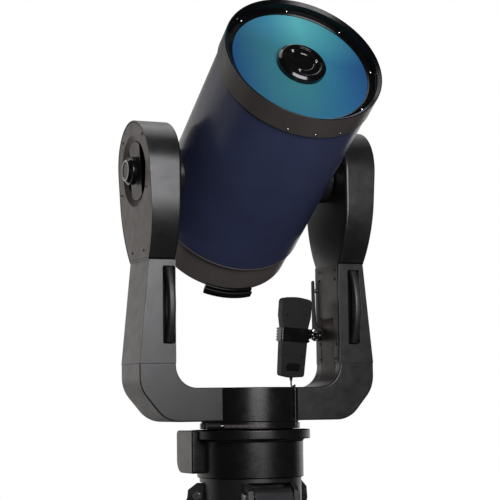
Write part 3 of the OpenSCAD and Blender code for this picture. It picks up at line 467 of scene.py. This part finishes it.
def tube():
    pr = fillet_profile([(228.5, -164, 0), (231, -164, 0.6), (231, 466, 0.6), (228.5, 466, 0)], 3)
    o = new_obj("tube_barrel", lathe(pr, OTA, 256, closed=True), M_TUBE, "tube", ("tube_shell",)); smooth(o)
    # front ring
    pr = fillet_profile([(231.05, 450, 0), (231.05, 439, 0.8), (235, 439, 1.8), (235, 514, 2.2), (232, 514, 1.2), (224, 506, 0.8), (224, 481, 0), (211, 481, 0), (211, 473, 0), (203.2, 473, 0.8), (203.2, 466, 0.6), (231.05, 466, 0)], 4)
    o = new_obj("front_ring_cast", lathe(pr, OTA, 256, closed=True), M_RING, "tube", ("front_ring",)); smooth(o)
    o.data.materials.append(M_RINGBLK)
    for p in o.data.polygons:
        c = p.center; q = (c.y * ce + (c.z - ALT) * se, (c.z - ALT) * ce - c.y * se)
        if q[1] > 0.4662 and math.hypot(c.x, q[0]) < 0.2346: p.material_index = 1
    bms = []
    for a in (-111, -91, -71.5, 69, 89, 109):
        c, sn = math.cos(math.radians(a)), math.sin(math.radians(a))
        bms.append(rod(OTA(233.5 * c, 233.5 * sn, 450), OTA(236.4 * c, 236.4 * sn, 450), 0.0042, 20))
    o = new_obj("front_ring_screws", join(bms), M_STEEL, "tube", ()); smooth(o)
    # corrector plate
    pr = [(60.1, 473.2), (210.6, 473.2), (210.9, 473.6), (210.9, 480.5), (210.6, 480.9), (60.1, 480.9)]
    o = new_obj("corrector_plate", lathe(pr, OTA, 192, closed=True), M_CORR, "tube", ("corrector",)); smooth(o)
    # retaining ring
    pr = fillet_profile([(203.2, 481.05, 0), (223.9, 481.05, 0), (223.9, 486.05, 1.4), (206.5, 486.05, 1.2), (203.2, 483.5, 0.6), (203.2, 481.05, 0)], 4)
    o = new_obj("retaining_ring_disc", lathe(pr, OTA, 224, closed=False), M_RINGBLK, "tube", ("retaining_ring",)); smooth(o)
    bms = []
    for i in range(8):
        a = math.radians(-2.5 + 45 * i); p, q = OTA(216 * math.cos(a), 216 * math.sin(a), 485.6), OTA(216 * math.cos(a), 216 * math.sin(a), 488)
        bms.append(rod(p, q, 0.0032, 20, 0.4))
    o = new_obj("retaining_screws", join(bms), M_STEEL, "tube", ()); smooth(o)
    # secondary holder
    pr = fillet_profile([(0, 467, 0), (60, 467, 0), (60, 481.1, 0), (72, 481.1, 1.0), (72, 496.5, 5.0), (63.5, 503.05, 3.0), (55.5, 503.05, 1.8), (53, 499.2, 1.2), (34, 499.2, 1.0), (32, 497.2, 1.0), (0, 497.2, 0)], 6)
    o = new_obj("secondary_hub", lathe(pr, OTA, 192), M_GLOSS, "tube", ("secondary_holder",)); smooth(o)
    bms = []
    for a in (3, 121, 243):
        c, sn = math.cos(math.radians(a)), math.sin(math.radians(a))
        bms.append(lathe(fillet_profile([(0, 502.2, 0), (1.6, 502.2, 0), (1.6, 503.6, 0.3), (5, 503.4, 1.2), (5, 498.5, 0), (0, 498.5, 0)], 4), lambda x, y, z, c=c, sn=sn: OTA(43 * c + x, 43 * sn + y, z), 24))
    o = new_obj("secondary_screws", join(bms), M_STEEL, "tube", ()); smooth(o)
    # rear cell
    pr = fillet_profile([(214, -144, 0), (228.4, -144, 0), (228.4, -164.5, 0), (231.2, -164.5, 0.8), (231.2, -169.5, 0.8), (224, -171, 1.2), (224, -279, 14), (158, -326, 12), (62, -326, 1.0), (62, -332, 1.2), (40.1, -332, 0.4), (40.1, -318, 0), (148, -312, 0), (214, -270, 0)], 5)
    o = new_obj("rear_cell_cast", lathe(pr, OTA, 224, closed=True), M_REAR, "tube", ("rear_cell",)); smooth(o)
    # boss under the rear foot
    A = [math.radians(-113.5 + 38 * i / 20) for i in range(21)]
    pl = lambda u, v, w: OTA(u, v, w)
    ol = [(233 * math.cos(a), 233 * math.sin(a)) for a in A] + [(206 * math.cos(a), 206 * math.sin(a)) for a in A[::-1]]
    o = new_obj("rear_foot_boss", prism(ol, -302, -268, pl), M_RINGBLK, "tube", ())
    b = o.modifiers.new("bevel", "BEVEL"); b.width = 0.003; b.segments = 3; b.limit_method = "ANGLE"; smooth(o)
    ol = [(241 * math.cos(a), 241 * math.sin(a)) for a in A] + [(233.1 * math.cos(a), 233.1 * math.sin(a)) for a in A[::-1]]
    o = new_obj("rear_foot_pad", prism(rpoly([(p[0], p[1], 0) for p in ol]), -301, -276, pl), M_STRIP, "tube", ("rear_foot",))
    b = o.modifiers.new("bevel", "BEVEL"); b.width = 0.005; b.segments = 4; b.limit_method = "ANGLE"; b.angle_limit = math.radians(40); smooth(o)
tube()

def grips():
    for s, x0, tag in ((-1, 284, "l"), (1, 312, "r")):
        bm = bmesh.new(); rings = []; K = 40
        def front(t): return -4 - 29 * (1 - t * t)
        def back(t): return 14 - 28 * max(0.0, 1 - (t / 0.9) ** 2) ** 0.6 if abs(t) < 0.9 else 14
        for i in range(K + 1):
            t = -1 + 2 * i / K; f, bk = front(t), min(back(t), front(t) + 26); hw = 12.0
            sec = rpoly([(-hw, f, 8.5), (hw, f, 8.5), (hw, bk, 3.5), (-hw, bk, 3.5)], 6)
            rings.append([bm.verts.new(Vector((s * (x0 + x) * MM, (-AD + y) * MM, (D + 241 + 113 * t) * MM))) for x, y in sec])
        m = len(rings[0])
        for a, b in zip(rings, rings[1:]):
            for i in range(m): bm.faces.new((a[i], b[i], b[(i + 1) % m], a[(i + 1) % m]))
        bm.faces.new(rings[0]); bm.faces.new(rings[-1])
        o = new_obj("carry_grip_" + tag, bm, M_GRIP, "fork", ("carry_handles",)); smooth(o)
grips()

def knob():
    pl = lambda x, y, z: Vector(((-AX - 60 - z) * MM, x * MM, ALT + y * MM))
    pr = fillet_profile([(0, -20, 0), (8, -20, 0), (8, 36.5, 0), (42, 36.5, 2.0), (42, 53.5, 3.0), (39.5, 54.5, 1.0), (31.5, 65, 1.6), (26, 65, 1.0), (25, 63, 0.6), (0, 63, 0)], 6)
    o = new_obj("clutch_wheel", lathe(pr, pl, 144), M_KNOBG, "clutch", ("clutch_knob",)); smooth(o)
    o.data.materials.append(M_KFACE)
    for p in o.data.polygons:
        c = p.center; r = math.hypot(c.y, c.z - ALT) / MM
        if r < 25 and c.x / MM < -AX - 118: p.material_index = 1
knob()

# ------------------------------------------------------------------ handset, holder, bracket
HX, HY, HZ = 159.6, 30.0, D + 152.7
def HS(t):
    c, sn = math.cos(math.radians(t)), math.sin(math.radians(t))
    return lambda x, z, y: Vector(((HX + x * c + z * sn) * MM, (HY + y) * MM, (HZ - x * sn + z * c) * MM))
def handset():
    P = HS(5.2); Q = HS(4.0)
    ol = rpoly([(-42, 30, 24), (-49, 66, 26), (-49, 118, 13), (0, 124, 160), (49, 118, 13), (49, 66, 26), (42, 30, 24),
                (42, -16, 60), (38.5, -119, 9), (0, -124, 90), (-38.5, -119, 9), (-42, -16, 60)], 8)
    o = new_obj("handset_housing", prism(ol, -16, 16, lambda u, v, w: P(u, v, w)), M_HAND, "fork", ("handset_body",))
    for x, z in ((0, -38), (0, -84), (-24, -61), (24, -61), (0, -61)):
        cut(o, bare(lathe([(0, 10), (8.7, 10), (8.7, 20), (0, 20)], lambda a, b, w, x=x, z=z: Q(x + a, z + b, w), 40)))
    # window of the display, on the key side
    cut(o, bare(prism(rpoly([(-32, 52, 4), (32, 52, 4), (32, 92, 4), (-32, 92, 4)], 5), 14.4, 20, lambda u, v, w: P(u, v, w))))
    for x, z in ((-33, 66), (-29, -57), (27, -57)):
        cut(o, bare(lathe([(0, -20), (3.4, -20), (3.4, -13.2), (0, -13.2)], lambda a, b, w, x=x, z=z: P(x + a, z + b, w), 28)))
    def rule(m, d):
        return 1.0 if abs(abs(m.y - HY) - 16) < 0.2 else 0.0
    me = o.data; bm = bmesh.new(); bm.from_mesh(me)
    lay = bm.edges.layers.float.get("bevel_weight_edge") or bm.edges.layers.float.new("bevel_weight_edge")
    inv = (P(0, 0, 0)); t = math.radians(5.2)
    for e in bm.edges:
        m = (e.verts[0].co + e.verts[1].co) / 2
        if len(e.link_faces) == 2 and abs(abs(m.y / MM - HY) - 16) < 0.2 and e.calc_face_angle(0) > math.radians(50):
            dx, dz = m.x / MM - HX, m.z / MM - HZ; x = dx * math.cos(t) - dz * math.sin(t); z = dx * math.sin(t) + dz * math.cos(t)
            small = abs(x) < 37 and -110 < z < 112
            e[lay] = 0.14 if small else 1.0
    bm.to_mesh(me); bm.free()
    b = o.modifiers.new("bevel", "BEVEL"); b.width = 0.0055; b.segments = 5; b.limit_method = "WEIGHT"; b.use_clamp_overlap = True
    smooth(o)
    # shallow moulded relief across the back's lower end
    r = new_obj("handset_relief", prism(rpoly([(-21, -104, 6), (21, -104, 6), (25, -80, 6), (-25, -80, 6)], 6), -16.7, -15, lambda u, v, w: P(u, v, w)), M_GLOSS, "fork", ())
    b = r.modifiers.new("bevel", "BEVEL"); b.width = 0.0006; b.segments = 2; b.limit_method = "ANGLE"; smooth(r)
    d = new_obj("handset_display", prism(rpoly([(-30, 54, 3), (30, 54, 3), (30, 90, 3), (-30, 90, 3)], 5), 13.5, 15.2, lambda u, v, w: P(u, v, w)), M_LCD, "fork", ())
    b = d.modifiers.new("bevel", "BEVEL"); b.width = 0.0005; b.segments = 2; b.limit_method = "ANGLE"; smooth(d)
handset()

def holder():
    Q = HS(4.0); bms = []
    band = rpoly([(-47, -20.5, 5), (47, -20.5, 5), (47, 20.5, 5), (-47, 20.5, 5)], 5)
    inner = rpoly([(-42.4, -16.3, 2.5), (42.4, -16.3, 2.5), (42.4, 16.3, 2.5), (-42.4, 16.3, 2.5)], 5)
    def loop(pts, z, bm): return [bm.verts.new(Q(x, z, y)) for x, y in pts]
    def hoop(z0, z1, grow):
        bm = bmesh.new()
        out = rpoly([(-47 - grow, -20.5 - grow, 5), (47 + grow, -20.5 - grow, 5), (47 + grow, 20.5 + grow, 5), (-47 - grow, 20.5 + grow, 5)], 5)
        a, b, c, d = loop(out, z0, bm), loop(out, z1, bm), loop(inner, z1, bm), loop(inner, z0, bm); n = len(a)
        for p, q in ((a, b), (b, c), (c, d), (d, a)):
            for i in range(n): bm.faces.new((p[i], q[i], q[(i + 1) % n], p[(i + 1) % n]))
        bmesh.ops.recalc_face_normals(bm, faces=bm.faces); return bm
    bms.append(hoop(-14, 28, 0))
    for i in range(5): bms.append(hoop(-11.2 + 8.6 * i, -7.2 + 8.6 * i, 1.9))
    o = new_obj("holder_band", join(bms), M_GLOSS, "fork", ("handset_bracket",))
    b = o.modifiers.new("bevel", "BEVEL"); b.width = 0.0011; b.segments = 3; b.limit_method = "ANGLE"; b.angle_limit = math.radians(50); smooth(o)
    # clamp: ball joint between the band and the strip, with its screw
    X = lambda x, y, z: Vector((x * MM, y * MM, (D + z) * MM))
    bms = [rod(X(205, 30, 163), X(216, 30, 162), 0.0115, 28)]
    ball = bmesh.new(); bmesh.ops.create_uvsphere(ball, u_segments=32, v_segments=20, radius=0.0135); bmesh.ops.translate(ball, verts=ball.verts, vec=X(224, 30, 160)); bms.append(ball)
    bms += [rod(X(228, 30, 158), X(249, 30, 157), 0.010, 28), rod(X(240, 30, 157), X(249.2, 30, 157), 0.0165, 32, 0.15), rod(X(222, 12, 172), X(222, 46, 172), 0.0045, 18),
            rod(X(224, 12, 150), X(224, 16, 150), 0.006, 18), rod(X(212, 14, 174), X(232, 14, 174), 0.0036, 16)]
    o = new_obj("holder_clamp", join(bms), M_GLOSS, "fork", ()); smooth(o)
    n = new_obj("holder_clamp_nuts", join([rod(X(222, 8, 172), X(222, 14, 172), 0.0062, 6, 0.1), rod(X(222, 20, 149), X(222, 24, 149), 0.005, 6, 0.1)]), M_STEEL, "fork", ()); smooth(n)
    # strip on the arm's inner face
    ol = rpoly([(14, 143, 8), (84, 143, 12), (86, 332, 7), (68, 332, 7), (60, 190, 40), (14, 178, 8)], 8)
    s_ = new_obj("holder_strip", prism(ol, 249, 253, YZ()), M_STRIP, "fork", ())
    b = s_.modifiers.new("bevel", "BEVEL"); b.width = 0.0012; b.segments = 3; b.limit_method = "ANGLE"; b.angle_limit = math.radians(40); smooth(s_)
    st = new_obj("holder_standoffs", join([rod(X(252, 74, z), X(263.5, 74, z), 0.006, 20) for z in (160, 300)]), M_STEEL, "fork", ()); smooth(st)
holder()

# ------------------------------------------------------------------ inner face of the right arm
def inner_face():
    def surf(z):
        """X of the inner face and the normal's angle at height z, down into the corner fillet"""
        if z >= 65: return 263.0, 0.0
        q = 65 - z; a = math.asin(min(1, q / 65)); return 263 - (65 - 65 * math.cos(a)), a
    pl = YZ()
    plate = prism(rpoly([(-73, 74, 4), (73, 74, 4), (73, 369.5, 4), (-73, 369.5, 4)], 5), 260.6, 263.4, pl)
    o = new_obj("arm_inner_plate", plate, M_INNER, "fork", ("arm_cover",))
    cut(o, bare(prism(rpoly([(-47, 40, 0), (46, 40, 0), (46, 213, 5), (-47, 210, 5)], 5), 255, 262.4, pl)))
    cut(o, bare(rod(Vector((0.25, -0.0044, (D + 203) * MM)), Vector((0.27, -0.0044, (D + 203) * MM)), 0.0062, 32, 0.02)))
    b = o.modifiers.new("bevel", "BEVEL"); b.width = 0.0006; b.segments = 2; b.limit_method = "ANGLE"; b.angle_limit = math.radians(50); smooth(o)
    # liner in the channel, running down round the corner
    bm = bmesh.new(); rows = []; zs = [209] + [74 + (209 - 74) * (1 - i / 4) for i in range(1, 5)] + [74 - i * 2.2 for i in range(1, 24)]
    zs = [z for z in zs if z >= 21]
    for z in zs:
        x, a = surf(z); lo_, hi_ = -45.2, 44.2
        k = (z - 21) / 16
        if k < 1: r = 16 * (1 - math.sqrt(max(0, 1 - (1 - k) ** 2))); lo_ += r; hi_ -= r
        nx, nz = -math.cos(a), math.sin(a)
        row = []
        for i in range(31):
            y = lo_ + (hi_ - lo_) * i / 30; h = 0.55 + (0.5 if i % 3 == 1 and 2 < i < 28 else 0.0)
            row.append(bm.verts.new(Vector(((x + nx * h) * MM, y * MM, (D + z + nz * h) * MM))))
        rows.append(row)
    for a, b2 in zip(rows, rows[1:]):
        for i in range(30): bm.faces.new((a[i], a[i + 1], b2[i + 1], b2[i]))
    f = new_obj("arm_channel_liner", bm, M_LINER, "fork", ())
    so = f.modifiers.new("thick", "SOLIDIFY"); so.thickness = 0.0012; so.offset = 0; 
    # rim round the channel's lower end
    path = [(z, -47.5) for z in (74, 66, 58, 50, 42, 36)] + [(z, None) for z in ()]
    ring = []
    for z in (76, 68, 60, 52, 44, 38): ring.append((-47.5, z))
    for i in range(1, 9): a = math.pi / 2 * i / 8; ring.append((-47.5 + 18 * (1 - math.cos(a)), 38 - 18 * math.sin(a)))
    for y in (-15, 0, 15): ring.append((y, 20))
    for i in range(0, 8): a = math.pi / 2 * (1 - i / 8); ring.append((46.5 - 18 * (1 - math.cos(a)), 38 - 18 * math.sin(a)))
    for z in (38, 44, 52, 60, 68, 76): ring.append((46.5, z))
    bm = bmesh.new(); prev = None
    for i, (y, z) in enumerate(ring):
        x, a = surf(z); n_ = Vector((-math.cos(a), 0, math.sin(a))); p = Vector((x, y, D + z))
        y2, z2 = ring[min(i + 1, len(ring) - 1)]; y1, z1 = ring[max(i - 1, 0)]
        q2 = Vector((surf(z2)[0], y2, D + z2)); q1 = Vector((surf(z1)[0], y1, D + z1)); t = (q2 - q1).normalized(); sd = t.cross(n_).normalized()
        sec = [p + sd * 1.3 - n_ * 0.3, p + sd * 0.9 + n_ * 1.1, p - sd * 0.9 + n_ * 1.1, p - sd * 1.3 - n_ * 0.3]
        vs = [bm.verts.new(v * MM) for v in sec]
        if prev:
            for k in range(4): bm.faces.new((prev[k], vs[k], vs[(k + 1) % 4], prev[(k + 1) % 4]))
        else: bm.faces.new(vs)
        prev = vs
    bm.faces.new(prev)
    r = new_obj("arm_channel_rim", bm, M_INNER, "fork", ()); smooth(r)
    bms = []
    for y, z in ((49, 329), (-59, 327), (50, 133), (-65, 129)): bms.append(rod(Vector((0.2585, y * MM, (D + z) * MM)), Vector((0.262, y * MM, (D + z) * MM)), 0.0042, 20))
    sc = new_obj("arm_inner_screws", join(bms), M_SCREWD, "fork", ()); smooth(sc)
inner_face()

# ------------------------------------------------------------------ outer covers
def covers():
    CW = 287.6
    def SL(sd, u, y, w): return Vector((sd * ((AX + u) * C3 + w * S3) * MM, y * MM, (D + 372 + w * C3 - (AX + u) * S3) * MM))
    for sd, tag in ((-1, "l"), (1, "r")):
        def outline(o):
            q = head_side(5.4 + o, 377.2 + o, 24); a, b = q[-1], q[0]
            return q + [(a[0] + (b[0] - a[0]) * i / 22, a[1]) for i in range(1, 22)]
        bm = bmesh.new(); rings = []
        for o, u in ((0, 77.1), (0, 81.0), (0.15, 81.8), (0.6, 82.35), (1.4, 82.6)):
            rings.append([bm.verts.new(YZ(sd)(y, z, face_x(AX + u, z))) for y, z in outline(o)])
        ang = [math.atan2((z - 372 + (AX + 82.6) * S3) / C3 * 1.0 - CW, y) for y, z in outline(1.4)]
        def circ(r, u): rings.append([bm.verts.new(SL(sd, u, r * math.cos(a), CW + r * math.sin(a))) for a in ang])
        for r, u in ((107.5, 82.6), (106.2, 82.45), (105.0, 82.05), (104.0, 81.5), (86.4, 74.6), (85.0, 73.8), (84.2, 72.8), (84.0, 71.5), (84.0, 45.0)): circ(r, u)
        # the recess wall and floor take the near-black material as painted shade
        n = len(rings[0]); first_shade_ring = len(rings) - 2; fid = []
        for j, (a, b) in enumerate(zip(rings, rings[1:])):
            for i in range(n):
                f = bm.faces.new((a[i], b[i], b[(i + 1) % n], a[(i + 1) % n])); f.material_index = 1 if j >= first_shade_ring else 0
        f = bm.faces.new(rings[-1]); f.material_index = 1
        # the cup's wall down into the head also takes the painted shade material
        back = rings[0]; rings = [back]
        for r, u in ((97.5, 77.1), (97.5, 40.0)): circ(r, u)
        for a, b in zip(rings, rings[1:]):
            for i in range(n): bm.faces.new((a[i], b[i], b[(i + 1) % n], a[(i + 1) % n])).material_index = 1
        bm.faces.new(rings[-1]).material_index = 1
        o = new_obj("head_cover_" + tag, bm, M_COVER, "fork", ("head_covers",)); o.data.materials.append(M_RECESS_PAINTED_SHADE); smooth(o)
        # upright bar behind the knob
        R = 87.8; ya = math.asin(46.8 / R)
        ol = [(R * math.sin(-ya + 2 * ya * i / 20), R * math.cos(-ya + 2 * ya * i / 20)) for i in range(21)]
        ol = ol + [(y, -w_) for y, w_ in ol[::-1]]
        b = new_obj("head_cover_bar_" + tag, prism(ol, 45, 77.5, lambda y, w_, u, sd=sd: SL(sd, u, y, CW + w_)), M_BAR, "fork", ())
        # the bar's side walls face into the recess and take the painted shade material
        b.data.materials.append(M_RECESS_PAINTED_SHADE)
        for p in b.data.polygons:
            if abs(p.normal.y) > 0.9: p.material_index = 1
        bv = b.modifiers.new("bevel", "BEVEL"); bv.width = 0.0022; bv.segments = 4; bv.limit_method = "ANGLE"; bv.angle_limit = math.radians(40); smooth(b)
covers()

# ------------------------------------------------------------------ finishes that split on one piece
def split(node, extra, test):
    o = N[node]; base = len(o.data.materials)
    for m in extra: o.data.materials.append(m)
    for p in o.data.polygons:
        k = test(o.matrix_world @ p.center / MM, p.normal)
        if k: p.material_index = base - 1 + k
split("az_worm", (M_STRIP,), lambda c, n: 1 if c.x < -130.5 else 0)
split("fork_screws", (M_SCREWD,), lambda c, n: 1)

# ------------------------------------------------------------------ world, lights, floor
# white sweep behind the object, low on the horizon, dark studio above and in front of it
w = bpy.data.worlds.new("w"); bpy.context.scene.world = w; w.use_nodes = True
nt = w.node_tree; nt.nodes.clear()
out = nt.nodes.new("ShaderNodeOutputWorld"); lp = nt.nodes.new("ShaderNodeLightPath")
bw = nt.nodes.new("ShaderNodeBackground"); bw.inputs[0].default_value = (1, 1, 1, 1); bw.inputs[1].default_value = 1.0
bd = nt.nodes.new("ShaderNodeBackground"); bd.inputs[0].default_value = (1.0, 0.975, 0.955, 1)
tcw = nt.nodes.new("ShaderNodeTexCoord")
def wdot(v):
    d = nt.nodes.new("ShaderNodeVectorMath"); d.operation = "DOT_PRODUCT"; d.inputs[1].default_value = v
    nt.links.new(tcw.outputs["Generated"], d.inputs[0]); return d.outputs["Value"]
def wmap(v, a, b, c, d):
    m = nt.nodes.new("ShaderNodeMapRange"); m.interpolation_type = "SMOOTHSTEP"
    for k, q in zip(("From Min", "From Max", "To Min", "To Max"), (a, b, c, d)): m.inputs[k].default_value = q
    nt.links.new(v, m.inputs["Value"]); return m.outputs["Result"]
def wmath(op, a, b):
    m = nt.nodes.new("ShaderNodeMath"); m.operation = op
    for i, v in enumerate((a, b)):
        if isinstance(v, (int, float)): m.inputs[i].default_value = v
        else: nt.links.new(v, m.inputs[i])
    return m.outputs[0]
wz = wdot((0, 0, 1))
wall = wmath("MULTIPLY", wmap(wdot((0.12, 0.99, 0.0)), 0.12, 0.62, 0.0, 0.98), wmath("MULTIPLY", wmap(wz, 0.17, 0.36, 1.0, 0.10), wmap(wz, -0.16, -0.02, 0.03, 1.0)))
crown = wmap(wdot((0.40, 0.72, 0.57)), 0.86, 0.99, 0.0, 0.75)
low = wmath("MULTIPLY", wmap(wdot((-0.45, 0.89, 0.0)), 0.60, 0.88, 0.0, 0.62), wmap(wz, -0.62, -0.30, 0.0, 1.0))
low = wmath("MULTIPLY", low, wmap(wz, -0.06, 0.02, 1.0, 0.0))
nt.links.new(wmath("ADD", wmath("MAXIMUM", wmath("MAXIMUM", wall, low), crown), 0.010), bd.inputs[1])
mx = nt.nodes.new("ShaderNodeMixShader")
nt.links.new(lp.outputs["Is Camera Ray"], mx.inputs[0]); nt.links.new(bd.outputs[0], mx.inputs[1]); nt.links.new(bw.outputs[0], mx.inputs[2])
nt.links.new(mx.outputs[0], out.inputs[0])

def area(name, loc, target, size, size_y, radiance, color=(1, 1, 1)):
    l = bpy.data.lights.new(name, "AREA"); l.shape = "RECTANGLE"; l.size = size; l.size_y = size_y; l.energy = radiance * math.pi * size * size_y; l.color = color
    o = bpy.data.objects.new(name, l); bpy.context.scene.collection.objects.link(o)
    o.location = loc; o.rotation_euler = (Vector(target) - Vector(loc)).to_track_quat("-Z", "Y").to_euler(); return o
area("key", (-0.12, -3.6, 2.34), (0, 0, 1.75), 2.35, 2.0, 11.2, (1.0, 0.985, 1.01))
area("top", (0.0, 0.5, 4.3), (0, 0, 1.7), 2.6, 2.0, 2.2)

def floor():
    me = bpy.data.meshes.new("floor"); bm = bmesh.new()
    bm.faces.new([bm.verts.new((1.5 * math.cos(math.pi * k / 64), 1.5 * math.sin(math.pi * k / 64), -0.0005)) for k in range(128)]); bm.to_mesh(me); bm.free()
    o = bpy.data.objects.new("floor", me); bpy.context.scene.collection.objects.link(o)
    s = Mat("m_floor"); f = s.noise(60, 5, 0.6); g = s.noise(1.5, 4, 0.6)
    l_ = s.n("ShaderNodeLightPath")
    dark = s.ramp(g, [(0.3, (0.09, 0.09, 0.093)), (0.7, (0.12, 0.12, 0.12))]); pale = s.ramp(g, [(0.3, (0.50, 0.50, 0.51)), (0.7, (0.55, 0.55, 0.55))])
    s.set(Base_Color=s.mix(l_.outputs["Is Camera Ray"], dark, pale), Roughness=0.8, Normal=s.bump(f, 0.05, 0.001)); o.data.materials.append(s.m)
floor()
bpy.context.scene.view_settings.view_transform = "Standard"
